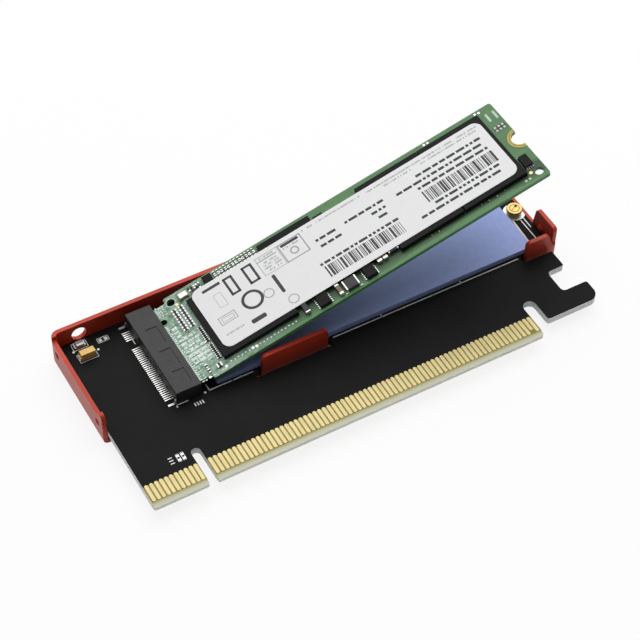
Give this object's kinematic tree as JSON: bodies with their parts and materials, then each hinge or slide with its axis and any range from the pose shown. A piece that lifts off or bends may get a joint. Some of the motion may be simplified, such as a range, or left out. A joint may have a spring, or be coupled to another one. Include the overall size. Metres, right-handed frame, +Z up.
{
  "type": "nvme adapter card",
  "caption": "Black edge-connector adapter card in a folded red heat tray, with a storage module sprung up at an angle from its low socket.",
  "frame": {"origin": "under the middle of the object's outline, at the height of the tray's underside", "axes": "+X along the edge fingers towards the retention hook, +Y from the edge fingers towards the rear wall, +Z up from the card's component side"},
  "size_m": [0.1006, 0.043, 0.0259],
  "materials": {
    "board_mask": "glossy black solder mask",
    "gold_plate": "gold plating, satin",
    "tinned_copper": "hot-air tinned copper",
    "red_anodised": "red anodised, fine satin",
    "thermal_pad_blue": "soft, matte",
    "brass_standoff": "turned, bright",
    "socket_plastic": "fine moulded texture",
    "plated_contact": "thin tin-plated spring strip",
    "tin_terminal": "tinned",
    "tantalum_yellow": "moulded epoxy",
    "led_white": "translucent moulding",
    "module_mask": "glossy green solder mask",
    "package_black": "moulded epoxy",
    "crystal_can": "stamped lid",
    "label_paper": "smooth printed label",
    "ceramic_tan": "fired ceramic",
    "ferrite_grey": "ferrite"
  },
  "bodies": {
    "card": {"adapter_board": "board_mask", "edge_contacts_top": "gold_plate", "edge_contacts_bottom": "gold_plate", "board_lands": "tinned_copper", "heat_tray": "red_anodised", "thermal_pad": "thermal_pad_blue", "rear_thermal_pad": "thermal_pad_blue", "standoff": "brass_standoff", "standoff_screw": "brass_standoff", "socket_housing": "socket_plastic", "socket_contacts_upper": "plated_contact", "socket_contacts_lower": "plated_contact", "socket_hold_downs": "tin_terminal", "tantalum_capacitor": "tantalum_yellow", "tantalum_terminals": "tin_terminal", "status_led": "led_white", "status_led_terminals": "tin_terminal"},
    "ssd_module": {"ssd_board": "module_mask", "ssd_contacts_top": "gold_plate", "ssd_contacts_bottom": "gold_plate", "ssd_mount_ring": "gold_plate", "ssd_lands": "tinned_copper", "ssd_controller": "package_black", "ssd_dram": "package_black", "ssd_flash_1": "package_black", "ssd_flash_2": "package_black", "ssd_label": "label_paper", "ssd_crystal": "crystal_can", "ssd_back_regulator": "package_black", "ssd_power_ic_1": "package_black", "ssd_power_ic_2": "package_black", "ssd_load_switch": "package_black", "ssd_inductors": "ferrite_grey", "ssd_inductor_terminals": "tin_terminal", "ssd_capacitors": "ceramic_tan", "ssd_capacitor_terminals": "tin_terminal", "ssd_chip_parts": "ceramic_tan", "ssd_chip_part_ends": "tin_terminal", "ssd_memory_ic": "package_black", "ssd_memory_ic_legs": "tin_terminal"}
  },
  "joints": [
    {"name": "module_tilt", "type": "hinge", "parent": "card", "child": "ssd_module", "pos_m": [-0.0305, 0.0084, 0.00526], "axis": [0, 1, 0], "range_deg": [0, 14.2], "stiffness_Nm_per_rad": 0.23, "springref_deg": -1.72}
  ]
}
